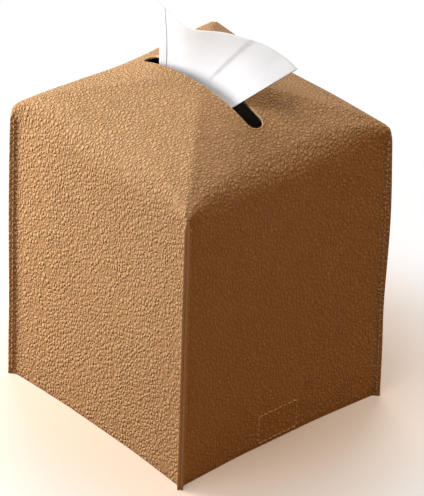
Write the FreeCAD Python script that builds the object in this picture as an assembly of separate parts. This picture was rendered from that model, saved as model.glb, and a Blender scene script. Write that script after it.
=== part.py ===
import FreeCAD, Part
import math
import os

# Leather tissue box cover. Millimetres, +Z up, origin at the middle of its foot on the table.
# The front wall faces -Y, the slot runs along X, and the strap crosses the open foot along X.

V = FreeCAD.Vector
UP = V(0, 0, 1)
ROOT_HALF = math.sqrt(0.5)

# Refill carton, which sets the inside of the cover
carton_width = 110.0
carton_height = 140.0
carton_gap = 0.3
card = 0.6
mouth_side = 9.0
mouth_width = 36.0
film = 0.3
film_margin = 4.0
slit_margin = 6.0
stack_headroom = 22.0
stack_gap = 2.0
stack_round = 2.0

# Layers of a wall, from outside in
skin = 1.4
board = 1.4
lining = 0.5
glue_gap = 0.2
lining_lift = 0.5
board_lift = 0.8
board_drop = 6.0
layer_corner_gap = 0.6

# Strap and tab that close the foot, with their hook-and-loop tape
strap_leather = 1.4
strap_width = 26.0
strap_end_round = 6.5
strap_overlap = 33.0
strap_lift = 0.3
tab_length = 44.0
anchor_height = 18.5
fold_gap = 0.3
tape = 0.8
tape_gap = 0.2
tape_margin = 2.3

# Soft top: a crowned sheet that folds over into the walls, pinched at its corners
headroom = 14.1
corner_drop = 7.0
crown_rise = 11.0
edge_fold_inside = 15.9
corner_fold_inside = 2.9
corner_round = 2.0
fold_lead = 4.0
fold_steps = 4
crown_tip = 2.0
outer_ring_share = 0.7
outer_ring_fade_share = 0.4
inner_ring_share = 0.4
inner_ring_fade_share = 0.9

# Slot in the top
slot_margin = 20.25
slot_width = 8.0
lining_setback = 1.0

# Corner seam: both edges of the skin stand out together as a flange
flange_depth = 3.0
flare_radius = 8.0
flange_drop = 6.0
flange_fade = 5.0
flange_pivot = 4.0
flange_end_share = 0.2

# Stitches
stitch_pitch = 3.0
stitch_length = 2.2
stitch_width = 0.6
stitch_height = 0.4
stitch_edge = 1.0
seam_inset = 1.3
seam_margin = 3.0

# Pulled tissue: gathered through the slot and fanned out above it
tissue_ply = 0.8
tissue_play = 2.6
tissue_end_gap = 12.75
tissue_pleats = 12
tissue_seat_gap = 0.3
tissue_shift = 3.0
tissue_left = 33.0
tissue_right = 42.0
tissue_left_rise = 25.3
tissue_right_rise = 16.0
tissue_lean = 20.0
tissue_ripple = 3.0
tissue_belly_rise = 0.55
tissue_belly_spread = 0.6
tissue_belly_lean = 0.45

# Heights and half widths that follow from the sizes above
strap_top = strap_lift + strap_leather
loop_top = strap_top + tape
hook_start = loop_top + tape_gap
tab_start = hook_start + tape
tab_top = tab_start + strap_leather
carton_floor = tab_top + carton_gap
carton_top = carton_floor + carton_height
stack_top = carton_top - card - stack_headroom
mouth_length = carton_width - 2 * mouth_side
lining_face = carton_width / 2 + carton_gap + strap_leather
board_face = lining_face + lining
skin_face = board_face + board
half = skin_face + skin
top_layers = skin + glue_gap + lining
edge_fold = edge_fold_inside + top_layers
corner_fold = corner_fold_inside + top_layers
edge_height = carton_top + headroom
fold_start = edge_height - edge_fold
wall_top = fold_start - fold_lead
corner_height = edge_height - corner_drop
corner_start = corner_height - corner_fold
crown_height = edge_height + crown_rise
lining_start = strap_top + lining_lift
board_start = lining_start + board_lift
board_top = fold_start - board_drop
slot_length = 2 * (half - slot_margin)
hinge_x = lining_face - strap_leather / 2 - fold_gap
strap_length = 2 * hinge_x - tab_length + strap_overlap
strap_end = hinge_x - strap_length
tab_end = tab_length - hinge_x
strap_anchor_start = strap_top + fold_gap
tab_anchor_start = tab_top + fold_gap
flange_top = corner_height - flange_drop
tissue_gather = slot_length - 2 * tissue_end_gap
tissue_pleat_depth = slot_width - 2 * tissue_play - tissue_ply


def block(x0, x1, y0, y1, z0, z1):
    return Part.makeBox(x1 - x0, y1 - y0, z1 - z0, V(x0, y0, z0))


def quarter_turns(shape, turns):
    turned = shape.copy()
    turned.rotate(V(0, 0, 0), UP, 90 * turns)
    return turned


def line(a, b):
    return Part.LineSegment(a, b).toShape()


def arc(a, b, c):
    return Part.Arc(a, b, c).toShape()


def prism(edges, z0, z1):
    face = Part.Face(Part.Wire(edges))
    face.translate(V(0, 0, z0))
    return face.extrude(V(0, 0, z1 - z0))


def stadium(length, width, z0, z1):
    r = width / 2
    s = length / 2 - r
    edges = [
        line(V(-s, -r, 0), V(s, -r, 0)),
        arc(V(s, -r, 0), V(s + r, 0, 0), V(s, r, 0)),
        line(V(s, r, 0), V(-s, r, 0)),
        arc(V(-s, r, 0), V(-s - r, 0, 0), V(-s, -r, 0)),
    ]
    return prism(edges, z0, z1)


# Soft top


def bowed_side(mid, mid_z, corner, corner_z, rounding):
    # One side of a section and the rounded corner after it, on the +Y wall
    run = corner - rounding
    start = V(-run, corner, corner_z)
    end = V(run, corner, corner_z)
    diagonal = corner - rounding * (1 - ROOT_HALF)
    turn = arc(end, V(diagonal, diagonal, corner_z), V(corner, run, corner_z))
    if mid == corner and mid_z == corner_z:
        return [line(start, end), turn]
    return [arc(start, V(0, mid, mid_z), end), turn]


def section(mid, mid_z, corner, corner_z, rounding):
    edges = []
    for turns in range(4):
        for edge in bowed_side(mid, mid_z, corner, corner_z, rounding):
            edges.append(quarter_turns(edge, -turns))
    return Part.Wire(edges)


def fold_end(radius, centre, start_z, top_z):
    # Angle at which a fold runs smoothly into the parabola that rises to the crown
    low, high = 0.0, math.pi / 2
    for _ in range(40):
        angle = (low + high) / 2
        reach = centre + radius * math.cos(angle)
        slope = 2 * (top_z - start_z - radius * math.sin(angle)) / reach
        if math.tan(math.pi / 2 - angle) > slope:
            low = angle
        else:
            high = angle
    return angle


def crowned_block(inset):
    # Everything inside the soft top's surface, moved in by a layer's depth, above the straight wall
    top_z = crown_height - inset
    edge_r = edge_fold - inset
    corner_r = corner_fold - inset
    edge_angle = fold_end(edge_r, half - edge_fold, fold_start, top_z)
    corner_angle = fold_end(corner_r, half - corner_fold, corner_start, top_z)
    out = half - inset
    wires = [section(out, wall_top, out, wall_top, corner_round)]
    for step in range(fold_steps + 1):
        share = step / fold_steps
        mid = half - edge_fold + edge_r * math.cos(share * edge_angle)
        mid_z = fold_start + edge_r * math.sin(share * edge_angle)
        corner = half - corner_fold + corner_r * math.cos(share * corner_angle)
        corner_z = corner_start + corner_r * math.sin(share * corner_angle)
        wires.append(section(mid, mid_z, corner, corner_z, corner_round))
    rings = ((outer_ring_share, outer_ring_fade_share), (inner_ring_share, inner_ring_fade_share))
    for share, roundness in rings:
        # The pinched ridge at each corner fades into a round dome towards the middle
        ring_mid = mid * share
        ring_corner = ring_mid + (corner * share - ring_mid) * (1 - roundness)
        rounding = ring_corner * roundness
        reach = (ring_corner - rounding * (1 - ROOT_HALF)) / ROOT_HALF
        dome_z = top_z - (top_z - mid_z) * (reach / mid) ** 2
        ridge_z = top_z - (top_z - corner_z) * share ** 2
        ring_z = top_z - (top_z - mid_z) * share ** 2
        ring_corner_z = dome_z + (ridge_z - dome_z) * (1 - roundness)
        wires.append(section(ring_mid, ring_z, ring_corner, ring_corner_z, rounding))
    wires.append(section(crown_tip, top_z, crown_tip, top_z, crown_tip * inner_ring_fade_share))
    return Part.makeLoft(wires, True, True)


def full_block(inset, foot):
    out = half - inset
    wall = prism(section(out, 0, out, 0, corner_round).Edges, foot, wall_top)
    return wall.fuse(crowned_block(inset))


# Corner seams


def flange_points():
    # Half of a flange's plan, on the +Y side of the +X +Y diagonal: wall, bend, root and tip
    start = half - flare_radius * (math.sqrt(2) - 1) - math.sqrt(2) * skin
    centre = V(start, half + flare_radius, 0)
    points = [V(start, half, 0)]
    for degrees in (-67.5, -45.0):
        turn = math.radians(degrees)
        points.append(centre + V(math.cos(turn), math.sin(turn), 0) * flare_radius)
    points.append(points[-1] + V(1, 1, 0) * (flange_depth * ROOT_HALF))
    return points


def mirrored(p):
    return V(p.y, p.x, p.z)


def flange_edges(share, z):
    # The whole plan, drawn in towards the corner by a share, at one height
    pivot = V(half - flange_pivot, half - flange_pivot, 0)
    wall, bend, root, tip = [pivot + (p - pivot) * share + V(0, 0, z) for p in flange_points()]
    inner = V(wall.x, wall.x, z)
    return [
        arc(wall, bend, root),
        line(root, tip),
        line(tip, mirrored(tip)),
        line(mirrored(tip), mirrored(root)),
        arc(mirrored(root), mirrored(bend), mirrored(wall)),
        line(mirrored(wall), inner),
        line(inner, wall),
    ]


def flange():
    straight = prism(flange_edges(1, 0), 0, flange_top)
    full = Part.Wire(flange_edges(1, flange_top))
    drawn_in = Part.Wire(flange_edges(flange_end_share, flange_top + flange_fade))
    return straight.fuse(Part.makeLoft([full, drawn_in], True, True))


def leather_skin():
    outer = full_block(0, 0)
    for turns in range(4):
        outer = outer.fuse(quarter_turns(flange(), turns))
    hollow = full_block(skin, -skin)
    slot = stadium(slot_length, slot_width, wall_top, crown_height + skin)
    return outer.cut(hollow).cut(slot).removeSplitter()


def seam_stitches(turns):
    # Stitches on both faces of a flange, just outside its root
    root = flange_points()[2]
    middle = (root.x + root.y) * ROOT_HALF + seam_inset
    near = middle - stitch_width / 2
    far = middle + stitch_width / 2
    stitches = []
    for i in range(int((flange_top - 2 * seam_margin) / stitch_pitch)):
        z = seam_margin + i * stitch_pitch
        for face in (skin, -skin - stitch_height):
            bar = block(near, far, face, face + stitch_height, z, z + stitch_length)
            bar.rotate(V(0, 0, 0), UP, 45 + 90 * turns)
            stitches.append(bar)
    return Part.makeCompound(stitches)


def box_stitches(side, foot):
    # The sewn rectangle that holds a strap end, seen on the outside of a wall
    face = half if side > 0 else -half - stitch_height
    back = face + stitch_height
    reach = strap_width / 2 - stitch_edge
    head = anchor_height - stitch_edge
    across = round(2 * reach / stitch_pitch)
    upward = round((head - foot) / stitch_pitch)
    step_y = 2 * reach / across
    step_z = (head - foot) / upward
    stitches = []
    for i in range(across):
        y = -reach + (i + 0.5) * step_y - stitch_length / 2
        for z in (foot, head - stitch_width):
            stitches.append(block(face, back, y, y + stitch_length, z, z + stitch_width))
    for i in range(upward):
        z = foot + (i + 0.5) * step_z - stitch_length / 2
        for y in (-reach - stitch_width, reach):
            stitches.append(block(face, back, y, y + stitch_width, z, z + stitch_length))
    return Part.makeCompound(stitches)


# Linings and boards


def top_lining():
    outer = crowned_block(skin + glue_gap)
    inner = crowned_block(top_layers)
    length = slot_length + 2 * lining_setback
    width = slot_width + 2 * lining_setback
    return outer.cut(inner).cut(stadium(length, width, wall_top, crown_height))


def wall_board():
    reach = board_face - layer_corner_gap
    return block(-reach, reach, -skin_face, -board_face, board_start, board_top)


def wall_lining():
    reach = lining_face - layer_corner_gap
    return block(-reach, reach, -board_face, -lining_face, lining_start, board_top)


# Strap, tab and tape


def hinged_flap(length, z0):
    # A flap that lies from x = 0 towards -X, with a round root on its hinge line and rounded end corners
    reach = strap_width / 2
    r = strap_leather / 2
    flat = block(-length, 0, -reach, reach, z0, z0 + strap_leather)
    corners = []
    for edge in flat.Edges:
        a, b = [vertex.Point for vertex in edge.Vertexes]
        if a.x < -length / 2 and b.x < -length / 2 and a.z != b.z:
            corners.append(edge)
    root = Part.makeCylinder(r, strap_width, V(0, -reach, z0 + r), V(0, 1, 0))
    return flat.makeFillet(strap_end_round, corners).fuse(root).removeSplitter()


def bottom_strap():
    strap = hinged_flap(strap_length, strap_lift)
    strap.translate(V(hinge_x, 0, 0))
    return strap


def closing_tab():
    tab = hinged_flap(tab_length, tab_start)
    tab.rotate(V(0, 0, 0), UP, 180)
    tab.translate(V(-hinge_x, 0, 0))
    return tab


def anchor(side, foot):
    x0 = lining_face - strap_leather if side > 0 else -lining_face
    return block(x0, x0 + strap_leather, -strap_width / 2, strap_width / 2, foot, anchor_height)


def tape_patch(z0):
    reach = strap_width / 2 - tape_margin
    patch = block(strap_end + tape_margin, tab_end - tape_margin, -reach, reach, z0, z0 + tape)
    upright = [edge for edge in patch.Edges if edge.Vertexes[0].Z != edge.Vertexes[1].Z]
    return patch.makeFillet(strap_end_round - tape_margin, upright)


# Refill


def refill_carton():
    out = carton_width / 2
    inn = out - card
    shell = block(-out, out, -out, out, carton_floor, carton_top)
    hollow = block(-inn, inn, -inn, inn, carton_floor + card, carton_top - card)
    mouth = stadium(mouth_length, mouth_width, carton_top - 2 * card, carton_top + card)
    return shell.cut(hollow).cut(mouth)


def mouth_film():
    z1 = carton_top - card
    sheet = stadium(mouth_length + 2 * film_margin, mouth_width + 2 * film_margin, z1 - film, z1)
    return sheet.cut(stadium(tissue_gather + 2 * slit_margin, slot_width, z1 - 2 * film, z1 + film))


def tissue_stack():
    reach = carton_width / 2 - card - stack_gap
    pile = block(-reach, reach, -reach, reach, carton_floor + card, stack_top)
    folds = [edge for edge in pile.Edges if edge.Vertexes[0].X != edge.Vertexes[1].X]
    return pile.makeFillet(stack_round, folds)


def tissue_rows():
    # Rows of points from the stack, through the slot and a belly, to the free edge
    lip = crown_height + skin
    rows = [[], [], [], []]
    for i in range(tissue_pleats + 1):
        u = i / tissue_pleats
        sign = 1 if i % 2 else -1
        x = (u - 0.5) * tissue_gather - tissue_shift
        y = (sign * tissue_pleat_depth - tissue_ply) / 2
        fan_x = u * (tissue_left + tissue_right) - tissue_left
        fan_y = tissue_lean * u ** 2 + sign * tissue_ripple / 2
        rise = tissue_left_rise + (tissue_right_rise - tissue_left_rise) * u ** 2
        belly_x = x + (fan_x - x) * tissue_belly_spread
        belly_y = y + (fan_y - y) * tissue_belly_lean
        rows[0].append(V(x, y, stack_top + tissue_seat_gap))
        rows[1].append(V(x, y, lip))
        rows[2].append(V(belly_x, belly_y, lip + rise * tissue_belly_rise))
        rows[3].append(V(fan_x, fan_y, lip + rise))
    return rows


def patch_faces(a, b, c, d):
    return [Part.Face(Part.makePolygon(corners)) for corners in ((a, b, c, a), (a, c, d, a))]


def tissue_sheet():
    # A thin closed sheet on the rows, one ply deep along Y
    rows = tissue_rows()
    ply = V(0, tissue_ply, 0)
    faces = []
    for low, high in zip(rows, rows[1:]):
        for a, b, c, d in zip(low, low[1:], high[1:], high):
            faces += patch_faces(a, b, c, d)
            faces += patch_faces(a + ply, d + ply, c + ply, b + ply)
        faces += patch_faces(low[0], high[0], high[0] + ply, low[0] + ply)
        faces += patch_faces(low[-1], low[-1] + ply, high[-1] + ply, high[-1])
    for row in (rows[0], rows[-1]):
        for a, b in zip(row, row[1:]):
            faces += patch_faces(a, b, b + ply, a + ply)
    solid = Part.Solid(Part.makeShell(faces))
    if solid.Volume < 0:
        solid.reverse()
    return solid


pieces = {
    "leather_skin": leather_skin(),
    "top_lining": top_lining(),
    "strap_anchor": anchor(1, strap_anchor_start),
    "bottom_strap": bottom_strap(),
    "loop_patch": tape_patch(strap_top),
    "strap_stitching": box_stitches(1, strap_anchor_start),
    "tab_anchor": anchor(-1, tab_anchor_start),
    "closing_tab": closing_tab(),
    "hook_patch": tape_patch(hook_start),
    "tab_stitching": box_stitches(-1, tab_anchor_start),
    "refill_carton": refill_carton(),
    "mouth_film": mouth_film(),
    "tissue_stack": tissue_stack(),
    "tissue_sheet": tissue_sheet(),
}
for turns, wall in enumerate(("front", "right", "rear", "left")):
    pieces[wall + "_board"] = quarter_turns(wall_board(), turns)
    pieces[wall + "_lining"] = quarter_turns(wall_lining(), turns)
for turns, corner in enumerate(("rear_right", "rear_left", "front_left", "front_right")):
    pieces[corner + "_stitching"] = seam_stitches(turns)

os.makedirs("parts", exist_ok=True)
for name, shape in pieces.items():
    print(name, "valid" if shape.isValid() else "NOT VALID", len(shape.Solids), round(shape.Volume, 1))
    shape.exportStep("parts/" + name + ".step")
print("hinges at x", hinge_x, "heights", strap_lift + strap_leather / 2, tab_start + strap_leather / 2)
print("slot", slot_length, "carton top", carton_top, "stack top", stack_top, "crown", crown_height)
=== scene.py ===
import math

import bmesh
import bpy
import numpy as np
from mathutils import Matrix, Vector


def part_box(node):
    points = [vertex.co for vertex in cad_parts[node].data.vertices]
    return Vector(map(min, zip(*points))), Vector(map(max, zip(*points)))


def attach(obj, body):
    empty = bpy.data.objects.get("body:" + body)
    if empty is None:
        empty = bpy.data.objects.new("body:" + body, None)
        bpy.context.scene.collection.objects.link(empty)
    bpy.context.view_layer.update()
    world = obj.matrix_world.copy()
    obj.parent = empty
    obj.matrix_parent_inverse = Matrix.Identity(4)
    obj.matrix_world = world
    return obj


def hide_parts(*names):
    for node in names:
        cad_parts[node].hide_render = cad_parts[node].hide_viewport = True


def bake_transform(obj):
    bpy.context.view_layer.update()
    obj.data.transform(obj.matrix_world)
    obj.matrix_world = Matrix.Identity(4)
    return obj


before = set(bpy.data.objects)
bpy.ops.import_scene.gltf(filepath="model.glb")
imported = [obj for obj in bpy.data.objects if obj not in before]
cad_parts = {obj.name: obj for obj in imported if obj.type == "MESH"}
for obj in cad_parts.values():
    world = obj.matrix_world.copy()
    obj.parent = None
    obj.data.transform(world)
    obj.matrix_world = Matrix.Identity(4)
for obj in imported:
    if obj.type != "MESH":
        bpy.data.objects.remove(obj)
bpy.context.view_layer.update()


# ---------------------------------------------------------------------------------------------------------
# The skin: one cross-cut piece of pebbled leather that makes the four walls and the soft crowned top.
# Neighbouring walls are sewn face out, so each corner has a seam that stands proud with two cut edges.
# The top is left soft: it folds over the walls, is pinched at the corners and is slit for the tissue.

MM = 0.001  # sizes are in millimetres, with the foot at 0, and become metres when a mesh is made
half_wall = 60.0
skin_depth = 1.4

# The top edge: its height and the radius of its fold, in the middle of a wall and at a corner.
edge_height, corner_height = 159.3, 152.3
edge_fold, corner_fold = 18.0, 5.0
edge_bow = 4.9
fold_rows = 12

# The crown: its height, the curve of its dome, and how far its four diagonal ridges are softened.
crown_height = 170.3
dome_curve = 0.0065
ridge_round, ridge_soft, ridge_power, ridge_fade = 0.9, 0.7, 4.0, 0.6
settling_rounds = 80
crown_rows, crown_crowding = 40, 1.3

# The slot: its size, how level the top is at its ends, and the lip that stands up along it.
slot_half, slot_round = 39.75, 4.0
slot_level = 0.37
lip_rise, lip_spread = 0.8, 4.0
rim_round, rim_bevel = 0.45, 0.13

# A wall from above: it bows out a little, turns outwards at the flare and ends in the standing seam.
wall_bow, bow_start, bow_bend = 1.8, 20.0, 1.3
flare_start, flare_bend = 58.8, 1.8
seam_root = np.array((60.36, 62.34))
seam_tip = np.array((62.48, 64.46))
seam_groove, seam_bevel, bevel_turn = 0.6, 0.3, 0.3
flat_points, flare_points = 25, 8

# The ears: between these heights the standing seam gives way to the rounded corner of the top.
ear_low, ear_high = 142.5, 148.5
ear_start, ear_reach, ear_round = 36.0, 3.4, 1.5
ear_first, ear_last, ear_points = 82, 45, 7


def eased(x, start, end):
    """0 before start and 1 after end, with a soft run between."""
    t = np.clip((x - start) / (end - start), 0, 1)
    return t * t * (3 - 2 * t)


def wall_plan():
    """Half a wall seen from above, from its middle to the corner seam: its foot line and its top line."""
    flat = np.linspace(0, flare_start, flat_points)
    t = np.linspace(0, 1, flare_points + 1)[1:]
    flare = flare_start + (seam_root[0] - flare_start) * t
    bow = wall_bow * np.clip((flat - bow_start) / (flare_start - bow_start), 0, 1) ** bow_bend
    foot = list(zip(flat, half_wall + bow))
    rise = seam_root[1] - half_wall - wall_bow
    foot += [(a, half_wall + wall_bow + rise * s**flare_bend) for a, s in zip(flare, t)]
    out = (seam_tip - seam_root) / np.linalg.norm(seam_tip - seam_root)
    across = np.array((1.0, -1.0)) / math.sqrt(2)
    groove = np.full(2, seam_tip.mean()) - seam_groove * out
    foot += [seam_root + out, seam_root + 2 * out, seam_tip - seam_bevel * out]
    foot += [seam_tip + bevel_turn * seam_bevel * (across - out), seam_tip + seam_bevel * across]
    foot += [seam_tip + (skin_depth - seam_bevel) * across, groove]
    ear_along = half_wall + ear_round
    top_along = np.concatenate([flat, flare_start + (ear_along - flare_start) * t])
    lean = np.clip((top_along - ear_start) / (ear_along - ear_start), 0, 1) ** 2
    top_out = half_wall + ear_reach * lean
    top = list(zip(top_along, top_out))
    centre = top_out[-1] - ear_round
    for turn in np.radians(np.linspace(ear_first, ear_last, ear_points)):
        top.append((centre + ear_round * math.cos(turn), centre + ear_round * math.sin(turn)))
    return np.array(foot), np.array(top)


def mirrored(half):
    """A whole wall's plan from its half: the left end first."""
    left = half[:0:-1] * np.array((-1.0, 1.0))
    return np.concatenate([left, half])


def both_ends(half):
    """Values along a whole wall from those along its half."""
    return np.concatenate([half[:0:-1], half])


half_foot, half_top = wall_plan()
foot_plan, top_plan = mirrored(half_foot), mirrored(half_top)


class Crown:
    """The soft top at one depth below the face: how each fold ends, and the height over any point."""

    def __init__(self, inset):
        self.inset = inset
        self.top = crown_height - inset
        self.turn = half_top[:, 0] / half_top[:, 1]
        bow = 1 - self.turn**2
        self.radius = corner_fold + (edge_fold - corner_fold) * bow
        edge = corner_height + (edge_height - corner_height) * (1 - self.turn**edge_bow)
        self.fold_centre = edge - self.radius
        self.sides = {end_wall: self.fold_ends(end_wall, bow) for end_wall in (False, True)}

    def fold_ends(self, end_wall, bow):
        """Where each fold runs into the dome without a kink, and the dome's drop and reach from there."""
        level = slot_level * bow**2 * end_wall
        angle = np.full_like(bow, 1.0)
        r = self.radius - self.inset
        for _ in range(settling_rounds):
            out = half_top[:, 1] - self.radius + r * np.cos(angle)
            drop = self.top - self.fold_centre - r * np.sin(angle)
            reach = out * np.hypot(1, self.turn)
            roundness = (dome_curve * reach**2 / drop) ** bow * ridge_round ** (1 - bow)
            slope = drop * ((1 - level) * 2 / roundness + 4 * level) / out
            angle = (angle + np.arctan2(1, slope)) / 2
        return {"angle": angle, "drop": drop, "reach": reach, "roundness": roundness, "level": level}

    def height(self, x, y):
        """The top's height over (x, y). Towards a diagonal its two sides are blended into a soft ridge."""
        along, out = np.minimum(abs(x), abs(y)), np.maximum(np.maximum(abs(x), abs(y)), 1e-6)
        turn = along / out
        near_ridge = np.maximum(turn - 1 + ridge_soft, 0) ** 2 / (2 * ridge_soft)
        heights = {}
        for end_wall, ends in self.sides.items():
            s = np.hypot(along, out) / np.interp(turn, self.turn, ends["reach"])
            inside = 1 - eased(s, ridge_fade, 1)
            s = s * (1 + ((1 + turn**ridge_power) ** (1 / ridge_power) - 1) * inside)
            place = turn - near_ridge * inside
            side = {key: np.interp(place, self.turn, values) for key, values in ends.items()}
            level, roundness = side["level"], side["roundness"]
            dome = roundness * s**2 / (1 + (roundness - 1) * s**2)
            heights[end_wall] = self.top - side["drop"] * ((1 - level) * dome + level * s**4)
        own = np.where(abs(x) >= abs(y), heights[True], heights[False])
        mean = (heights[True] + heights[False]) / 2
        return own + (mean - own) * eased(turn, 1 - ridge_soft, 1) * inside


def slot_rim(end_wall, grow):
    """The slot's edge in front of one wall as (along, out) pairs, moved away from the slot by grow."""
    share = top_plan[:, 0] / top_plan[-1, 0]
    run = slot_half - slot_round
    r = slot_round + grow
    if end_wall:
        return np.stack([r * np.sin(share * math.pi / 2), run + r * np.cos(share * math.pi / 2)], 1)
    return np.stack([run * share, np.full_like(share, r)], 1)


def skin_wall(end_wall, inset, sewn, foot_rows, rim_grow, wall_rows=46):
    """One wall and its quarter of the top as rows of points: foot, wall, fold and crown up to the slot."""
    crown = Crown(inset)
    angle = both_ends(crown.sides[end_wall]["angle"])
    radius, centre = both_ends(crown.radius), both_ends(crown.fold_centre)
    low = foot_plan if sewn else np.clip(foot_plan, -half_wall, half_wall)
    r = radius - inset

    def ring(z, turned, shrink=0.0):
        plan = low + (top_plan - low) * eased(z, ear_low, ear_high)[:, None]
        out = plan[:, 1] - radius + r * np.cos(turned) - shrink
        return np.stack([plan[:, 0] * out / plan[:, 1], out, z], 1)

    upright = np.zeros_like(radius)
    rows = [ring(upright + z, upright, shrink) for z, shrink in foot_rows]
    foot = foot_rows[-1][0]
    for t in np.linspace(0, 1, wall_rows + 1)[1:]:
        rows.append(ring(foot + (centre - foot) * t, upright))
    for t in np.linspace(0, 1, fold_rows + 1)[1:]:
        rows.append(ring(centre + r * np.sin(angle * t), angle * t))
    start = rows[-1][:, :2]
    end = slot_rim(end_wall, rim_grow)
    for t in 1 - (1 - np.linspace(0, 1, crown_rows + 1)[1:]) ** crown_crowding:
        plan = start + (end - start) * t
        x, y = plan.T[::-1] if end_wall else plan.T
        lift = lip_rise * np.exp(-np.linalg.norm(end - plan, axis=1) / lip_spread)
        rows.append(np.column_stack([plan, crown.height(x, y) + lift]))
    return rows


def around(side_rows):
    """Rows for the front, right, rear and left walls joined into closed rings about the object."""
    rings = []
    for rows in zip(*side_rows):
        ring = []
        for turns, row in enumerate(rows):
            x, y = row[:-1, 0], -row[:-1, 1]
            for _ in range(turns):
                x, y = -y, x
            ring.append(np.column_stack([x, y, row[:-1, 2]]))
        rings.append(np.concatenate(ring))
    return np.array(rings)


def ring_faces(rows, columns, closed):
    """Quads between neighbouring rings of points; a closed set joins its last ring to its first."""
    faces = []
    for row in range(rows if closed else rows - 1):
        for column in range(columns):
            a, b = row * columns, (row + 1) % rows * columns
            faces.append((a + column, a + (column + 1) % columns, b + (column + 1) % columns, b + column))
    return faces


def new_piece(name, points, faces, finishes, kinds=None, smooth=True):
    """A mesh piece from points in millimetres, with one finish, or several chosen face by face."""
    mesh = bpy.data.meshes.new(name)
    mesh.from_pydata([tuple(p) for p in np.asarray(points) * MM], [], faces)
    for finish in finishes:
        mesh.materials.append(finish)
    if kinds is not None:
        mesh.polygons.foreach_set("material_index", np.asarray(kinds, np.int32))
    mesh.polygons.foreach_set("use_smooth", np.full(len(mesh.polygons), smooth))
    mesh.update()
    piece = bpy.data.objects.new(name, mesh)
    bpy.context.scene.collection.objects.link(piece)
    return piece


def joined(piece, gap=0.01):
    """Points that fall together, as at a collapsed corner, become one."""
    work = bmesh.new()
    work.from_mesh(piece.data)
    bmesh.ops.remove_doubles(work, verts=work.verts, dist=gap * MM)
    bmesh.ops.dissolve_degenerate(work, edges=work.edges, dist=gap * MM / 10)
    bmesh.ops.recalc_face_normals(work, faces=work.faces)
    work.to_mesh(piece.data)
    work.free()
    return piece


class Wire:
    """A value in a finish's nodes. Arithmetic on wires adds the Math nodes that work it out."""

    def __init__(self, tree, socket=None):
        self.tree = tree
        self.socket = socket

    def node(self, kind, settings=None, sockets=None, out=0):
        """A new node with its settings and its sockets' values or links, as the wire from one output."""
        made = self.tree.nodes.new(kind)
        for key, value in (settings or {}).items():
            setattr(made, key, value)
        for key, value in (sockets or {}).items():
            if isinstance(value, Wire):
                self.tree.links.new(value.socket, made.inputs[key])
            else:
                made.inputs[key].default_value = value
        return Wire(self.tree, made.outputs[out])

    def maths(self, operation, a, b):
        return self.node("ShaderNodeMath", {"operation": operation}, {0: a, 1: b})

    def __add__(self, other):
        return self.maths("ADD", self, other)

    def __radd__(self, other):
        return self.maths("ADD", other, self)

    def __mul__(self, other):
        return self.maths("MULTIPLY", self, other)

    def __rmul__(self, other):
        return self.maths("MULTIPLY", other, self)


def tone(red, green, blue):
    """A colour written as it looks on a screen, 0 to 255, as the linear colour that a shader takes."""
    def linear(c):
        c /= 255
        return c / 12.92 if c <= 0.04045 else ((c + 0.055) / 1.055) ** 2.4

    return (linear(red), linear(green), linear(blue), 1.0)


def new_finish(name, roughness, specular):
    """A material with a Principled shader, and the wire to the object's own coordinates."""
    finish = bpy.data.materials.new(name)
    finish.use_nodes = True
    shader = finish.node_tree.nodes["Principled BSDF"]
    shader.inputs["Roughness"].default_value = roughness
    shader.inputs["Specular IOR Level"].default_value = specular
    place = Wire(finish.node_tree).node("ShaderNodeTexCoord", out="Object")
    return finish, shader, place


def plug(shader, socket, wire):
    """Links a wire to one of a shader's sockets."""
    wire.tree.links.new(wire.socket, shader.inputs[socket])


def mixed(factor, first, second):
    """The first colour where the factor is 0, and the second where it is 1."""
    return factor.node("ShaderNodeMix", {"data_type": "RGBA"}, {0: factor, 6: first, 7: second}, out=2)


def ramped(value, start, end, run="LINEAR"):
    """0 up to start and 1 from end on."""
    return value.node("ShaderNodeMapRange", {"interpolation_type": run}, {0: value, 1: start, 2: end})


def clouds(place, scale, detail, out=0):
    """Random soft patches, about scale of them in a metre."""
    sockets = {"Vector": place, "Scale": scale, "Detail": detail}
    return place.node("ShaderNodeTexNoise", sockets=sockets, out=out)


def emboss(shader, height, depth, strength):
    """Presses a height into the surface, depth in metres."""
    sockets = {"Strength": strength, "Distance": depth, "Height": height}
    plug(shader, "Normal", height.node("ShaderNodeBump", sockets=sockets))


pebbles_per_metre = 540.0
pebble_lean, pebble_height = 0.32, 0.8
pebble_sway = 0.0004
pebble_depth = 0.0008


def pebbled_leather(name, shade=1.0):
    """Tan leather with a pressed grain: plump leaning pebbles about 2 mm across, soft creases between,
    darkened by painted shade.
    """
    def shaded(red, green, blue):
        return tone(red * shade, green * shade, blue * shade)

    finish, shader, place = new_finish(name, 0.55, 0.08)
    leaning = {"Rotation": (0.0, pebble_lean, 0.0), "Scale": (1.0, 1.0, pebble_height)}
    lean = place.node("ShaderNodeMapping", sockets={"Vector": place, **leaning})
    swaying = {0: clouds(place, 260.0, 2.0, out="Color"), 1: (pebble_sway,) * 3, 2: lean}
    swayed = place.node("ShaderNodeVectorMath", {"operation": "MULTIPLY_ADD"}, swaying)
    cells = {"Vector": swayed, "Scale": pebbles_per_metre}
    crease = place.node("ShaderNodeTexVoronoi", {"feature": "DISTANCE_TO_EDGE"}, cells, out="Distance")
    pebble = ramped(crease, -0.16, 0.46, "SMOOTHSTEP")
    tall, fine = clouds(place, 420.0, 1.0), clouds(place, 2600.0, 3.0)
    emboss(shader, pebble * (0.5 + tall) + fine * 0.06, pebble_depth, 1.0)
    body = mixed(clouds(place, 38.0, 3.0), shaded(188, 146, 103), shaded(199, 158, 114))
    # The creases are coloured a darker, redder tan: painted shade in the valleys between the pebbles.
    plug(shader, "Base Color", mixed(ramped(crease, 0.0, 0.14), shaded(169, 125, 81), body))
    plug(shader, "Roughness", 0.48 + fine * 0.16)
    return finish


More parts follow.
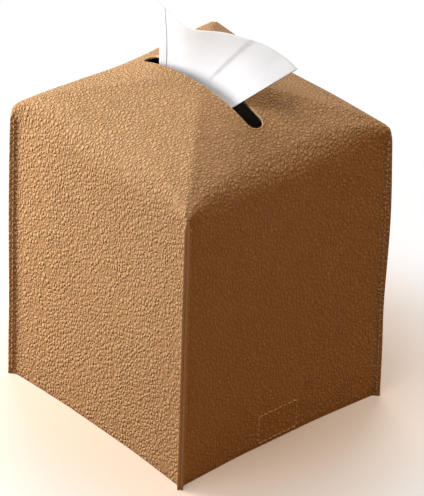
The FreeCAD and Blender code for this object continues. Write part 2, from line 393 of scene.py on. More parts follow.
def cut_edge(name, dark, light, roughness):
    """The fibres of a cut leather edge, sealed with a coat of edge paint."""
    finish, shader, place = new_finish(name, roughness, 0.4)
    fibre = clouds(place, 1500.0, 4.0)
    plug(shader, "Base Color", mixed(fibre, dark, light))
    emboss(shader, fibre, 0.0002, 0.5)
    return finish


skin_leather = pebbled_leather("pebbled_leather")
seam_paint = cut_edge("painted_seam_edge", tone(175, 124, 77), tone(206, 155, 106), 0.55)
rim_fibre = cut_edge("cut_slot_rim", tone(208, 163, 116), tone(236, 199, 157), 0.75)

# Front, right, rear and left: the right and left walls are those at the ends of the slot.
end_walls = (False, True, False, True)

# The foot's rows as heights and insets, and the slot's rim as distances back from the slot and depths.
foot_bevel = ((0.0, 0.3), (0.09, 0.09), (0.3, 0.0))
inner_foot = ((0.0, -0.02), (0.3, 0.0))
rim_profile = (
    (rim_bevel, rim_bevel),
    (0.0, rim_round),
    (0.0, skin_depth - rim_round),
    (rim_bevel, skin_depth - rim_bevel),
)
outer = [skin_wall(end_wall, 0.0, True, foot_bevel, rim_round) for end_wall in end_walls]
inner = [skin_wall(end_wall, skin_depth, False, inner_foot, rim_round)[::-1] for end_wall in end_walls]
rims = []
for end_wall, rows in zip(end_walls, outer):
    lip_z = rows[-1][:, 2]
    rims.append([np.column_stack([slot_rim(end_wall, grow), lip_z - sink]) for grow, sink in rim_profile])
skin_rings = around([o + m + i for o, m, i in zip(outer, rims, inner)])

# Soft leather is never quite flat: slow swells a few tenths of a millimetre deep, none at the foot.
swell_start, swell_full = 18.0, 60.0
top_start = 150.0
wall_share, inner_swell = 0.9, 0.2


def wave(distance, length, phase=0.0):
    """A slow wave along a distance."""
    return np.sin(distance / length + phase)


points = skin_rings.reshape(-1, 3)
x, y, z = points.T
swell = 0.35 * wave(x, 17, 1.3) * wave(z, 23, 0.4) + 0.25 * wave(y, 13, 2) * wave(z, 15, 1.1)
swell += 0.3 * wave(x + y, 21, 0.7) * wave(x - y, 26)
away = np.column_stack([x / half_wall, y / half_wall, np.where(z > top_start, 1.0, 0.0)])
away = np.where(abs(away) < wall_share, away * inner_swell, away)
points = points + away * (swell * eased(z, swell_start, swell_full))[:, None]

# Faces are leather, but the foot and the tips of the seams are painted, and the slot's rim is bare fibre.
leather_face, painted_face, fibre_face = 0, 1, 2
paint_end = ear_low + 3
tip_columns = np.arange(-3, 3)
ring_count, column_count = skin_rings.shape[:2]
outer_count, rim_count = len(outer[0]), len(rim_profile)
wall_columns = len(top_plan) - 1
kinds = np.full((ring_count, column_count), leather_face)
kinds[:2] = painted_face
kinds[-1] = painted_face
kinds[outer_count - 1 : outer_count + rim_count] = fibre_face
for corner in range(4):
    tip = (corner * wall_columns + tip_columns) % column_count
    below = skin_rings[:outer_count, corner * wall_columns, 2] < paint_end
    kinds[np.ix_(np.nonzero(below)[0], tip)] = painted_face
skin = new_piece(
    "leather_cover",
    points,
    ring_faces(ring_count, column_count, closed=True),
    (skin_leather, seam_paint, rim_fibre),
    kinds.ravel(),
)
joined(skin)
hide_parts("leather_skin")
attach(skin, "cover")


# ---------------------------------------------------------------------------------------------------------
# The corner seams: polyester thread through both layers of each standing seam, one row close to its root.
# Every stitch shows as a short plump bar that dives into the leather at both ends.

stitch_inset = 1.1
seam_line = float(seam_root.sum()) / math.sqrt(2) + stitch_inset
seam_first, seam_last = 3.0, 143.0
stitch_pitch, stitch_length = 3.0, 2.4
thread_radius, thread_sides = 0.32, 8

# Along a stitch: share of its length, lift off the leather, share of the thread's radius.
stitch_profile = (
    (0, -0.4, 0.5), (0.1, 0.02, 0.9), (0.3, 0.2, 1),
    (0.7, 0.2, 1), (0.9, 0.02, 0.9), (1, -0.4, 0.5),
)


def stitch(start, end, out):
    """One stitch as rings of points along an arch from start to end, bulging to the out side."""
    start, end, out = (np.array(v, float) for v in (start, end, out))
    along = (end - start) / np.linalg.norm(end - start)
    across = np.cross(along, out)
    rings = []
    for t, lift, share in stitch_profile:
        centre = start + (end - start) * t + out * lift
        for turn in np.linspace(0, 2 * math.pi, thread_sides, endpoint=False):
            rings.append(centre + thread_radius * share * (across * math.cos(turn) + out * math.sin(turn)))
    return np.array(rings)


def stitch_row(name, stitches, finish):
    """Many stitches as one piece."""
    points, faces = [], []
    last_ring = (len(stitch_profile) - 1) * thread_sides
    one_stitch = ring_faces(len(stitch_profile), thread_sides, closed=False)
    one_stitch += [range(thread_sides)[::-1], range(last_ring, last_ring + thread_sides)]
    for rings in stitches:
        faces += [tuple(len(points) + i for i in face) for face in one_stitch]
        points.extend(rings)
    return new_piece(name, points, faces, (finish,))


def twisted_thread(name, dark, light):
    """Two-ply thread: fine slanting bands of light and shade along each stitch."""
    finish, shader, place = new_finish(name, 0.45, 0.4)
    bands = {"Vector": place, "Scale": 620.0, "Distortion": 0.6}
    ply = place.node("ShaderNodeTexWave", {"bands_direction": "DIAGONAL"}, bands, out="Fac")
    plug(shader, "Base Color", mixed(ply, dark, light))
    emboss(shader, ply, 0.0001, 0.5)
    return finish


seam_thread = twisted_thread("seam_thread", tone(166, 115, 66), tone(224, 176, 123))
for turns, corner in enumerate(("rear_right", "rear_left", "front_left", "front_right")):
    turn = math.pi / 4 + turns * math.pi / 2
    outward = np.array((math.cos(turn), math.sin(turn), 0.0))
    sideways = np.array((-math.sin(turn), math.cos(turn), 0.0))
    seam_stitches = []
    for foot_z in np.arange(seam_first, seam_last, stitch_pitch):
        for face in (1, -1):
            base = outward * seam_line + sideways * face * skin_depth
            low, high = base + (0, 0, foot_z), base + (0, 0, foot_z + stitch_length)
            seam_stitches.append(stitch(low, high, sideways * face))
    row = stitch_row(corner + "_thread", seam_stitches, seam_thread)
    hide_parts(corner + "_stitching")
    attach(row, "cover")


# ---------------------------------------------------------------------------------------------------------
# The wall boards: grey pressed board, glued flat behind the leather of each wall to keep it upright.
# They are cut square, and only their lower edges can be seen, from below.

board_finish, board_shader, board_place = new_finish("grey_board", 0.85, 0.2)
pulp = clouds(board_place, 900.0, 6.0)
plug(board_shader, "Base Color", mixed(pulp, tone(120, 116, 108), tone(168, 163, 152)))
emboss(board_shader, pulp, 0.0002, 0.4)
wall_names = ("front", "right", "rear", "left")
for wall in wall_names:
    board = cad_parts[wall + "_board"]
    board.data.materials.clear()
    board.data.materials.append(board_finish)


# ---------------------------------------------------------------------------------------------------------
# The linings: thin brown suede cloth. One sheet is glued inside each wall, over its board, and another
# lies under the whole soft top, cut back a little around the slot.

lining_points = 41
lining_wave, wave_margin = 0.12, 8.0
lining_soft, soft_margin = 0.18, 0.4
top_lining_foot = 137.3
top_lining_rows = 4
top_lining_outside, top_lining_inside = 1.6, 2.1
top_lining_setback = 1.0

suede_finish, suede_shader, suede_place = new_finish("brown_suede", 0.95, 0.15)
nap, stroke = clouds(suede_place, 2200.0, 5.0), clouds(suede_place, 70.0, 2.0)
plug(suede_shader, "Base Color", mixed(nap * 0.6 + stroke * 0.4, tone(70, 50, 34), tone(118, 88, 62)))
emboss(suede_shader, nap, 0.0002, 0.6)


def thick_sheet(front, back):
    """A closed sheet from two grids of points; its faces are the front, the back, then the edge strip."""
    rows, columns = front.shape[:2]
    points = np.concatenate([front.reshape(-1, 3), back.reshape(-1, 3)])
    under = rows * columns
    faces = []
    for start, flip in ((0, False), (under, True)):
        for r in range(rows - 1):
            for c in range(columns - 1):
                quad = [start + r * columns + c, start + r * columns + c + 1]
                quad += [start + (r + 1) * columns + c + 1, start + (r + 1) * columns + c]
                faces.append(tuple(quad[::-1] if flip else quad))
    rim = list(range(columns)) + [r * columns + columns - 1 for r in range(1, rows)]
    rim += [(rows - 1) * columns + c for c in range(columns - 2, -1, -1)]
    rim += [r * columns for r in range(rows - 2, 0, -1)]
    for a, b in zip(rim, rim[1:] + rim[:1]):
        faces.append((a, under + a, under + b, b))
    return points, faces


def box_of(node):
    """The lower and upper corner of a node's box, in millimetres."""
    return [np.array(corner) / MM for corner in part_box(node)]


for turns, wall in enumerate(wall_names):
    low, high = box_of(wall + "_lining")
    along = 0 if turns % 2 == 0 else 1
    depth = 1 - along
    across_wall = np.linspace(low[along], high[along], lining_points)
    u, v = np.meshgrid(across_wall, np.linspace(low[2], high[2], lining_points))
    edge = np.minimum.reduce([u - low[along], high[along] - u, v - low[2], high[2] - v])
    soft = lining_soft * np.exp(-edge / soft_margin)
    ripple = lining_wave * wave(u, 9, turns) * wave(v, 11, 2 * turns) * eased(edge, 0, wave_margin)
    cloth_sides = []
    for level, inward in ((low[depth], 1), (high[depth], -1)):
        cloth = np.zeros(u.shape + (3,))
        cloth[..., along], cloth[..., 2] = u, v
        cloth[..., depth] = level + inward * (soft + abs(ripple))
        cloth_sides.append(cloth)
    lining = new_piece(wall + "_suede", *thick_sheet(*cloth_sides), (suede_finish,))
    joined(lining)
    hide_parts(wall + "_lining")
    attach(lining, "cover")

lining_layers = []
for end_wall in end_walls:
    layer = []
    for inset, order in ((top_lining_outside, 1), (top_lining_inside, -1)):
        foot_row = ((top_lining_foot, 0.0),)
        rows = skin_wall(end_wall, inset, False, foot_row, top_lining_setback, top_lining_rows)
        layer += rows[::order]
    lining_layers.append(layer)
lining_rings = around(lining_layers)
lining_faces = ring_faces(*lining_rings.shape[:2], closed=True)
top_suede = new_piece("top_suede", lining_rings.reshape(-1, 3), lining_faces, (suede_finish,))
joined(top_suede)
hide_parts("top_lining")
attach(top_suede, "cover")


# ---------------------------------------------------------------------------------------------------------
# The bottom strap and the closing tab: flat strips of the same leather, pebbled outside and suede inside,
# with painted edges. Each is sewn inside a wall, folds over at the foot and crosses under the carton.

strip_half, strip_depth = 13.0, 1.4
strip_end_round = 6.5
strip_fold = 1.0
strip_bend = 6.0
strip_wall = 56.0
strip_head = 18.5
strip_end_thin = 0.4
wall_steps, fold_steps, bend_steps, run_steps, tip_steps = 16, 10, 12, 50, 12
strap_level, strap_end = 1.0, -44.7
tab_level, tab_end = 4.2, 11.7

# Across a strip: places from edge to edge, and how far its thickness is kept towards an edge.
strip_across = np.array((-1, -0.99, -0.97, -0.9, -0.6, -0.3, 0, 0.3, 0.6, 0.9, 0.97, 0.99, 1))
strip_plump = np.interp(abs(strip_across), (0, 0.96, 0.985, 1), (1, 1, 0.8, 0.35))


def strip_path(level, reach):
    """Centre line of a strip sewn at +X, as (x, z, tilt): down the wall, round and along the foot."""
    path = [(strip_wall, z, 0.0) for z in np.linspace(strip_head, level + strip_fold, wall_steps)]
    for tilt in np.linspace(0, math.pi / 2, fold_steps)[1:]:
        x = strip_wall - strip_fold + strip_fold * math.cos(tilt)
        path.append((x, level + strip_fold - strip_fold * math.sin(tilt), tilt))
    start = strip_wall - strip_fold
    straight = start - reach - strip_end_round
    bend = np.linspace(0, strip_bend, bend_steps)[1:]
    run = np.linspace(strip_bend, straight, run_steps)[1:]
    tip = straight + strip_end_round * np.sin(np.linspace(0, math.pi / 2, tip_steps)[1:])
    path += [(start - d, level, math.pi / 2) for d in np.concatenate([bend, run, tip])]
    return np.array(path)


def leather_strip(name, level, reach, side):
    """A strip with soft edges and a rounded end, on the +X or the -X side."""
    path = strip_path(level, reach)
    left = np.clip(path[:, 0] - reach, 0, strip_end_round)
    left = np.where(path[:, 2] < 1, strip_end_round, left)
    half_width = strip_half - strip_end_round + np.sqrt(strip_end_round**2 - (strip_end_round - left) ** 2)
    kept = np.ones(len(path))
    kept[[0, -1]] = strip_end_thin
    grids = []
    for face in (1, -1):
        lift = face * strip_depth / 2 * kept[:, None] * strip_plump[None, :]
        x = path[:, None, 0] + lift * np.cos(path[:, None, 2])
        z = path[:, None, 1] - lift * np.sin(path[:, None, 2])
        y = half_width[:, None] * strip_across[None, :]
        grids.append(np.stack([side * x, side * y, z], -1))
    points, faces = thick_sheet(*grids)
    sheet_faces = (len(path) - 1) * (len(strip_across) - 1)
    grain_face, paint_face, suede_face = 0, 1, 2
    kinds = [grain_face] * sheet_faces + [suede_face] * sheet_faces
    kinds += [paint_face] * (len(faces) - len(kinds))
    strip = new_piece(name, points, faces, (strap_grain, seam_paint, suede_finish), kinds)
    return joined(strip, 0.002)


strap_grain = pebbled_leather("strap_leather", 0.94)
strap = leather_strip("foot_strap", strap_level, strap_end, 1)
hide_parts("strap_anchor", "bottom_strap")
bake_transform(strap)
tab = leather_strip("foot_tab", tab_level, tab_end, -1)
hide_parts("tab_anchor", "closing_tab")
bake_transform(tab)


# ---------------------------------------------------------------------------------------------------------
# The sewn rectangles: light thread that holds the strap's end on the right wall and the tab's on the left.
# Each is sewn through leather, board and strip, so its stitches show on the outside of the wall.

box_half, box_head = 12.0, 17.5
box_thread = twisted_thread("box_thread", tone(194, 143, 90), tone(240, 198, 146))
for side, name, box_foot in ((1, "strap", 2.3), (-1, "tab", 5.5)):
    face = side * half_wall
    corners = [(-box_half, box_foot), (box_half, box_foot), (box_half, box_head), (-box_half, box_head)]
    box_stitches = []
    for (y0, z0), (y1, z1) in zip(corners, corners[1:] + corners[:1]):
        run = math.hypot(y1 - y0, z1 - z0)
        count = round(run / stitch_pitch)
        gap = (1 - stitch_length / run * count) / count / 2
        for i in range(count):
            a, b = i / count + gap, (i + 1) / count - gap
            start = (face, y0 + (y1 - y0) * a, z0 + (z1 - z0) * a)
            end = (face, y0 + (y1 - y0) * b, z0 + (z1 - z0) * b)
            box_stitches.append(stitch(start, end, (side, 0, 0)))
    row = stitch_row(name + "_box_thread", box_stitches, box_thread)
    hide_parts(name + "_stitching")
    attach(row, "cover")


# ---------------------------------------------------------------------------------------------------------
# The closure: woven tape with nylon loops on the strap, and tape with stiff hooks under the tab.
# Both patches are cut with rounded corners and glued down, and they meet where the two strips overlap.

tape_base, tape_round = 0.3, 4.2
tape_pitch, tape_margin, tape_bare = 1.35, 1.2, 0.9
nylon_radius = 0.07
nylon_half, nylon_lean = 0.3, 0.25
hook_turn, loop_turn = 150, 180


def tape_finish(name, dark, light, roughness):
    """Woven nylon tape: fine bands of warp."""
    finish, shader, place = new_finish(name, roughness, 0.4)
    bands = {"Vector": place, "Scale": 700.0, "Distortion": 2.0}
    weave = place.node("ShaderNodeTexWave", {"bands_direction": "X"}, bands, out="Fac")
    plug(shader, "Base Color", mixed(weave, dark, light))
    emboss(shader, weave, 0.0001, 0.4)
    return finish


def tape_patch(name, node, level, grow, hooked, finish):
    """A rounded patch at a level, with a field of small loops or of open hooks on its grow side."""
    low, high = box_of(node)
    outline = []
    for turn in np.radians(np.arange(0, 360, 15)):
        right, far = math.cos(turn) > 1e-6, math.sin(turn) > 1e-6
        x = (high[0] - tape_round if right else low[0] + tape_round) + tape_round * math.cos(turn)
        y = (high[1] - tape_round if far else low[1] + tape_round) + tape_round * math.sin(turn)
        outline.append((x, y))
    points = [(x, y, level + grow * z) for z in (0, tape_base) for x, y in outline]
    count = len(outline)
    faces = ring_faces(2, count, closed=False)
    faces += [tuple(range(count))[::-1], tuple(range(count, 2 * count))]
    tall = high[2] - low[2] - tape_base
    bend = np.radians(np.linspace(0, hook_turn if hooked else loop_turn, 7))
    spins = np.radians((0, 90, 180, 270))
    last_ring = len(spins) * (len(bend) - 1)
    one_loop = ring_faces(len(bend), len(spins), closed=False)
    one_loop += [range(len(spins))[::-1], range(last_ring, last_ring + len(spins))]
    for x in np.arange(low[0] + tape_margin, high[0] - tape_margin, tape_pitch):
        for y in np.arange(low[1] + tape_margin, high[1] - tape_margin, tape_pitch):
            over = [
                max(abs(p - (a + b) / 2) - (b - a) / 2 + tape_round, 0)
                for p, a, b in zip((x, y), low, high)
            ]
            if math.hypot(*over) > tape_round - tape_bare:
                continue
            lean = nylon_lean * math.sin(7 * x + 3 * y)
            faces += [tuple(len(points) + i for i in face) for face in one_loop]
            for turn in bend:
                cx = x - nylon_half * math.cos(turn)
                cz = tape_base + (tall - nylon_radius) * math.sin(turn)
                for spin in spins:
                    off = nylon_radius * math.cos(spin)
                    points.append((
                        cx - off * math.cos(turn),
                        y + nylon_radius * math.sin(spin) + lean * math.sin(turn),
                        level + grow * (cz + off * math.sin(turn)),
                    ))
    patch = new_piece(name, points, faces, (finish,))
    joined(patch, 0.001)
    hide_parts(node)
    return patch


loop_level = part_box("loop_patch")[0].z / MM
loop_nylon = tape_finish("loop_nylon", tone(126, 92, 58), tone(164, 126, 84), 0.9)
loops = tape_patch("loop_tape", "loop_patch", loop_level, 1, False, loop_nylon)
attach(loops, "strap")
hook_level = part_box("hook_patch")[1].z / MM
hook_nylon = tape_finish("hook_nylon", tone(110, 80, 50), tone(146, 110, 72), 0.4)
hooks = tape_patch("hook_tape", "hook_patch", hook_level, -1, True, hook_nylon)
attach(hooks, "tab")


# ---------------------------------------------------------------------------------------------------------
# The refill carton: thin white folding board with a long mouth in its top. Its foot is closed by four
# flaps, the two long ones meeting in the middle over the short ones.

card, card_soft = 0.6, 0.2
mouth_half, mouth_round = 46.0, 18.0
flap_gap, flap_reach = 0.5, 40.0

card_finish, card_shader, card_place = new_finish("white_card", 0.6, 0.3)
fibre = clouds(card_place, 1400.0, 5.0)
plug(card_shader, "Base Color", mixed(fibre, tone(198, 194, 186), tone(222, 219, 212)))
emboss(card_shader, fibre, 0.0001, 0.3)


def card_panel(low, high):
    """A flat panel of card with softened edges."""
    points = []
    levels = (low[2], low[2] + card_soft, high[2] - card_soft, high[2])
    for z, inset in zip(levels, (card_soft, 0, 0, card_soft)):
        x0, x1, y0, y1 = low[0] + inset, high[0] - inset, low[1] + inset, high[1] - inset
        points += [(x0, y0, z), (x1, y0, z), (x1, y1, z), (x0, y1, z)]
    return np.array(points), ring_faces(4, 4, closed=False) + [(3, 2, 1, 0), (12, 13, 14, 15)]


def mouth_panel(low, high):
    """The carton's top: a square of card with a long rounded mouth."""
    turns = np.radians(np.arange(0, 360, 5) + 2.5)
    round_x, round_y = mouth_round * np.cos(turns), mouth_round * np.sin(turns)
    hole = np.stack([(mouth_half - mouth_round) * np.sign(np.cos(turns)) + round_x, round_y], 1)
    rim = np.stack([np.cos(turns), np.sin(turns)], 1)
    rim = rim / abs(rim).max(1, keepdims=True) * high[0]
    corners = np.argsort(abs(abs(rim).sum(1) - 2 * high[0]))[:4]
    rim[corners] = np.sign(rim[corners]) * high[0]
    rings = []
    for plan, z in ((hole, high[2]), (rim, high[2]), (rim, low[2]), (hole, low[2])):
        rings.append(np.column_stack([plan, np.full(len(turns), z)]))
    return np.concatenate(rings), ring_faces(4, len(turns), closed=True)


low, high = box_of("refill_carton")
out, foot, head = high[0], low[2], high[2]
panels = [mouth_panel((-out, -out, head - card), (out, out, head))]
for sign in (1, -1):
    for along in (0, 1):
        a, b = np.array((-out, -out, foot + card)), np.array((out, out, head - card))
        if along:
            a[0], b[0] = sorted((sign * out, sign * (out - card)))
        else:
            a[1], b[1] = sorted((sign * out, sign * (out - card)))
            a[0], b[0] = -out + card, out - card
        panels.append(card_panel(a, b))
    y0, y1 = sorted((sign * flap_gap / 2, sign * out))
    panels.append(card_panel((-out, y0, foot), (out, y1, foot + card)))
    x0, x1 = sorted((sign * (out - card), sign * (out - flap_reach)))
    panels.append(card_panel((x0, -out + card, foot + card), (x1, out - card, foot + 2 * card)))
points, faces = [], []
for panel_points, panel_faces in panels:
    faces += [tuple(len(points) + i for i in face) for face in panel_faces]
    points.extend(panel_points)
carton = new_piece("folded_carton", points, faces, (card_finish,), smooth=False)
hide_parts("refill_carton")
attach(carton, "cover")


# ---------------------------------------------------------------------------------------------------------
# The mouth film: thin clear plastic, slightly crinkled, glued under the carton's mouth.
# The tissue comes up through its slit, which holds the sheet until it is pulled.

film_finish, film_shader, film_place = new_finish("clear_film", 0.12, 0.5)
film_shader.inputs["Base Color"].default_value = tone(236, 240, 244)
crinkle = clouds(film_place, 90.0, 3.0)
emboss(film_shader, crinkle, 0.001, 0.6)
plug(film_shader, "Alpha", crinkle * 0.15 + 0.2)
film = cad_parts["mouth_film"]
film.data.materials.clear()
film.data.materials.append(film_finish)


# ---------------------------------------------------------------------------------------------------------
# The tissues: soft two-ply paper. The stack is a pile of folded sheets, with their folds along the sides.
# The topmost ones are parted in the middle, where the pulled sheet comes up from between them.

layer_depth = 2.0
layer_slip = 0.7
layer_plump = 0.94
parted_layers = 7
parting = (-1.6, 3.4)

paper_finish, paper_shader, paper_place = new_finish("tissue_paper", 0.9, 0.2)
mesh_grain, crumple = clouds(paper_place, 1600.0, 4.0), clouds(paper_place, 160.0, 2.0)
plug(paper_shader, "Base Color", mixed(crumple, tone(238, 239, 241), tone(244, 244, 247)))
paper_shader.inputs["Subsurface Weight"].default_value = 0.1
paper_shader.inputs["Subsurface Radius"].default_value = (1.0, 1.0, 1.0)
paper_shader.inputs["Subsurface Scale"].default_value = 0.002
emboss(paper_shader, mesh_grain * 0.5 + crumple, 0.00025, 0.35)

low, high = box_of("tissue_stack")
rng = np.random.default_rng(11)
layer_count = int((high[2] - low[2]) / layer_depth)
layer_rise = (high[2] - low[2]) / layer_count
parted_floor = high[2] - parted_layers * layer_rise
fold = layer_rise / 2
bends = np.radians(np.linspace(-90, 90, 7))
points, faces = [], []
for i in range(layer_count):
    slip = rng.uniform(-layer_slip, 0, 4)
    middle = low[2] + i * layer_rise + fold
    sides = (low[1] - slip[1], high[1] + slip[0])
    parted = i >= layer_count - parted_layers
    spans = ((sides[0], parting[0]), (parting[1], sides[1])) if parted else (sides,)
    for near, far in spans:
        first = len(points)
        heights = middle + fold * layer_plump * np.sin(bends)
        section = list(zip(far - fold + fold * np.cos(bends), heights))
        section += list(zip(near + fold - fold * np.cos(bends), heights))[::-1]
        for x in (low[0] - slip[2], high[0] + slip[3]):
            points += [(x, y, z) for y, z in section]
        count = len(section)
        layer_faces = ring_faces(2, count, closed=False) + [range(count)[::-1], range(count, 2 * count)]
        faces += [tuple(first + k for k in face) for face in layer_faces]
stack = new_piece("tissue_pile", points, faces, (paper_finish,))
joined(stack, 0.001)
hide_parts("tissue_stack")
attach(stack, "cover")


# ---------------------------------------------------------------------------------------------------------
# The pulled tissue: the part of one sheet that is drawn out of the pile, gathered through film and slot.
# It is hemmed along its left edge and folded back along its right edge, so it stands two layers thick.

sheet_ply = 0.12
free_edge = np.array([
    (-33, 0.5, 197), (-22, 0.5, 193.3), (-10, 2.5, 192.0), (7, 7.3, 196.0),
    (24.5, 12.3, 196.8), (38, 15.4, 194.4), (46.3, 16.6, 191.4),
])
lip_left, lip_right = -30.0, 21.0
lip_ends, lip_middle, lip_bend, lip_below = (-0.8, -2.6), 3.1, 0.6, 4.0
gather_left, gather_right, gather_out = -27.5, 22.0, 0.6
gather_pleats, gather_depth, gather_end = 9, 0.9, 0.55
pleat_drift, drift_pace = 1.6, 8
pleat_least, pleat_change, change_pace = 0.7, 0.3, 23
seat_gap = 0.3
hem, hem_gap, hem_turn = 0.075, 0.14, 0.03
layer_gap, layer_turn, layer_drop = 0.7, 0.04, 1.2
crease_top, crease_lip, crease_wide, crease_deep = 0.63, 0.58, 0.02, 0.5
crease_rise, crease_fade = (0.05, 0.3), (0.8, 1)
broad_bulge, small_bulge, back_spread = 0.7, 0.3, 0.5
hem_tip, back_first, back_last = 0.008, 0.99, 0.03
hem_columns, front_columns, back_columns = 10, 110, 60
gather_rows, free_rows = 26, 40


def along_curve(points, share):
    """Points on a smooth curve through given points, spaced evenly by share."""
    knots = np.linspace(0, 1, len(points))
    slopes = np.gradient(points, knots, axis=0)
    i = np.clip(np.searchsorted(knots, share) - 1, 0, len(points) - 2)
    h = knots[1] - knots[0]
    t = ((share - knots[i]) / h)[:, None]
    a = points[i] * (2 * t**3 - 3 * t**2 + 1) + points[i + 1] * (3 * t**2 - 2 * t**3)
    return a + slopes[i] * h * (t**3 - 2 * t**2 + t) + slopes[i + 1] * h * (t**3 - t**2)


# Across the sheet, as shares of the front layer: the hem, the front layer and the layer folded behind it.
share = np.concatenate([
    np.linspace(hem, hem_tip, hem_columns),
    np.linspace(0, 1, front_columns),
    np.linspace(back_first, back_last, back_columns),
])
layer = np.concatenate([np.full(hem_columns, -1.0), np.zeros(front_columns), np.ones(back_columns)])
in_hem, in_back = layer < 0, layer > 0
hem_share, back_share = eased(share, 0, hem_turn), eased(1 - share, 0, layer_turn)
turnover = np.where(in_hem, hem_share, np.where(in_back, back_share, 0))
offset = turnover * np.where(in_hem, -hem_gap, np.where(in_back, layer_gap, 0))

# Three lines that the sheet hangs between: its end in the pile, its bend at the slot's lip, its free edge.
level_share = np.ones(len(share))
gather_x = gather_left + (gather_right - gather_left) * share
gather = np.column_stack([gather_x, gather_out * level_share, (parted_floor + seat_gap) * level_share])
lip_x = lip_left + (lip_right - lip_left) * share
lip_y = lip_ends[0] + (lip_ends[1] - lip_ends[0]) * share
lip_y += lip_middle * np.sin(share * math.pi) ** lip_bend
lip = np.column_stack([lip_x, lip_y, Crown(0).height(lip_x, 0 * share) - lip_below])
edge = along_curve(free_edge, share)

drift = pleat_drift * np.sin(share * drift_pace)
pleats = gather_depth * np.sin(share * gather_pleats * 2 * math.pi + drift)
pleats *= pleat_least + pleat_change * np.sin(share * change_pace)
rows = []
for t in np.linspace(0, 1, gather_rows):
    row = gather + (lip - gather) * t
    row[:, 1] += pleats * (1 - eased(t, gather_end, 1)) + offset
    rows.append(row)
for t in np.linspace(0, 1, free_rows + 1)[1:]:
    row = lip + (edge - lip) * t
    bulge = broad_bulge * np.sin(share * 4.4 + 0.4) + small_bulge * np.sin(share * 12 + 2 * t)
    crease_at = crease_lip + (crease_top - crease_lip) * t
    crease = crease_deep * eased(share - crease_at, -crease_wide, crease_wide)
    crease *= eased(t, *crease_rise) * (1 - eased(share, *crease_fade))
    spread = np.where(in_back, 1 + back_spread * t, 1)
    row[:, 1] += math.sin(t * math.pi) * bulge + crease + offset * spread
    row[:, 2] -= np.where(in_back, layer_drop * t * turnover, 0)
    rows.append(row)
sheet_grid = np.array(rows)
facing = np.cross(np.gradient(sheet_grid, axis=1), np.gradient(sheet_grid, axis=0))
facing /= np.maximum(np.linalg.norm(facing, axis=2, keepdims=True), 1e-9)
half_ply = facing * sheet_ply / 2
tissue = new_piece(
    "pulled_tissue", *thick_sheet(sheet_grid + half_ply, sheet_grid - half_ply), (paper_finish,)
)
cut_strip = 2 * (sheet_grid.shape[0] - 1) * (sheet_grid.shape[1] - 1)
for cut_face in tissue.data.polygons[cut_strip:]:
    cut_face.use_smooth = False
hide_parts("tissue_sheet")
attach(tissue, "tissue")


# ---------------------------------------------------------------------------------------------------------
# The stage: a pale matt floor with a painted warm reflection of the object about its foot, running out
# into a white background. The light is a key lamp from the left, soft lamps overhead and behind, and a
# warm fill that leaves the right wall dark.

floor_half = 3000.0
# Near the foot the floor shows a warm peach: a painted reflection of the tan object, fading to white
# further out.
floor_painted_reflection, floor_white = tone(250, 222, 200), tone(252, 252, 252)
# Light bounced off the floor takes a dim warm tan, which paints warm bounce light onto the box.
floor_bounce = tone(150, 118, 86)
haze_painted_reflection, haze_white = (1.0, 0.8, 0.6, 1.0), (1.0, 1.0, 1.0, 1.0)
warm_start, warm_end = 0.06, 0.18
haze_start, haze_end = 0.02, 0.24


def background_rays(start):
    """1 where the camera, a reflection or clear film looks at the background, 0 for the light it gives."""
    seen = start.node("ShaderNodeLightPath", out="Is Camera Ray")
    for kind in ("Is Glossy Ray", "Is Transmission Ray"):
        seen = seen.maths("MAXIMUM", seen, start.node("ShaderNodeLightPath", out=kind))
    return seen


floor_finish, floor_shader, floor_place = new_finish("pale_floor", 0.6, 0.0)
floor_rays = background_rays(floor_place)
distance = floor_place.node("ShaderNodeVectorMath", {"operation": "LENGTH"}, {0: floor_place}, out="Value")
near_fade = ramped(distance, warm_start, warm_end, "SMOOTHSTEP")
far_fade = ramped(distance, haze_start, haze_end)
floor_seen = mixed(near_fade, floor_painted_reflection, floor_white)
plug(floor_shader, "Base Color", mixed(floor_rays, floor_bounce, floor_seen))
# The floor's glow for the camera is warm near the foot, a painted reflection of the object, and white
# further out as backdrop.
haze = mixed(near_fade, haze_painted_reflection, haze_white)
backdrop_with_painted_reflection = floor_place.node("ShaderNodeEmission", sockets={"Color": haze, "Strength": 1.0})
lit_floor = Wire(floor_finish.node_tree, floor_shader.outputs[0])
blend = floor_place.node("ShaderNodeMixShader", sockets={0: far_fade * floor_rays, 1: lit_floor, 2: backdrop_with_painted_reflection})
plug(floor_finish.node_tree.nodes["Material Output"], "Surface", blend)
floor_corners = [(x * floor_half, y * floor_half, 0) for x, y in ((-1, -1), (1, -1), (1, 1), (-1, 1))]
floor = new_piece("floor", floor_corners, [(0, 1, 2, 3)], (floor_finish,))

view_azimuth, view_elevation, view_roll = math.radians(48.02), math.radians(32.72), math.radians(1.8)
view_distance, view_focal = 2500.0, 5277.0
aim_right, aim_height = 6.7, 77.6
image_long_side = 496

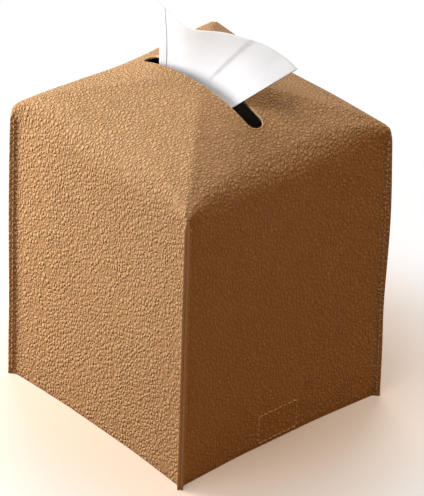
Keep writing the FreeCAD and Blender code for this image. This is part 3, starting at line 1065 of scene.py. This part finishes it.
back = Vector((
    math.sin(view_azimuth) * math.cos(view_elevation),
    -math.cos(view_azimuth) * math.cos(view_elevation),
    math.sin(view_elevation),
))
level = Vector((math.cos(view_azimuth), math.sin(view_azimuth), 0))
upright = back.cross(level)
tilted_right = level * math.cos(view_roll) + upright * math.sin(view_roll)
tilted_up = upright * math.cos(view_roll) - level * math.sin(view_roll)
stand = (level * aim_right + Vector((0, 0, aim_height)) + back * view_distance) * MM
turned = Matrix((tilted_right, tilted_up, back)).transposed().to_4x4()
camera = bpy.data.objects.new("camera", bpy.data.cameras.new("camera"))
camera.matrix_world = Matrix.Translation(stand) @ turned
camera.data.sensor_width = 36.0
camera.data.lens = view_focal * camera.data.sensor_width / image_long_side
camera.data.clip_end = 50
bpy.context.scene.collection.objects.link(camera)
bpy.context.scene.camera = camera


def soft_light(name, offset, size, watts, colour=(1.0, 1.0, 1.0)):
    """A square soft box, placed off the object's middle and turned towards it."""
    middle = Vector((0, 0, 0.09))
    lamp = bpy.data.lights.new(name, "AREA")
    lamp.size, lamp.energy, lamp.color = size, watts, colour
    box = bpy.data.objects.new(name, lamp)
    box.location = middle + offset
    box.rotation_euler = (-offset).to_track_quat("-Z", "Y").to_euler()
    bpy.context.scene.collection.objects.link(box)


behind = -Vector((back.x, back.y, 0)).normalized()
key_turn = math.radians(8)
key_from = behind * math.sin(key_turn) - level * math.cos(key_turn)
soft_light("key", key_from * 0.46 + Vector((0, 0, 0.125)), 0.24, 3.25)
soft_light("overhead", Vector((0.08, -0.4, 1.1)), 0.6, 6.9)
soft_light("behind", behind * 0.9 + Vector((0, 0, 1.2)), 0.8, 10.5)
soft_light("warm_fill", level * 1.3 + back * 0.6, 0.8, 3.8, (1.0, 0.46, 0.0))

world_light = 0.02
world = bpy.data.worlds.new("studio")
bpy.context.scene.world = world
world.use_nodes = True
surround = world.node_tree.nodes["Background"]
surround.inputs["Color"].default_value = (1.0, 1.0, 1.0, 1.0)
plug(surround, "Strength", background_rays(Wire(world.node_tree)) * (1 - world_light) + world_light)
bpy.context.scene.view_settings.view_transform = "Standard"
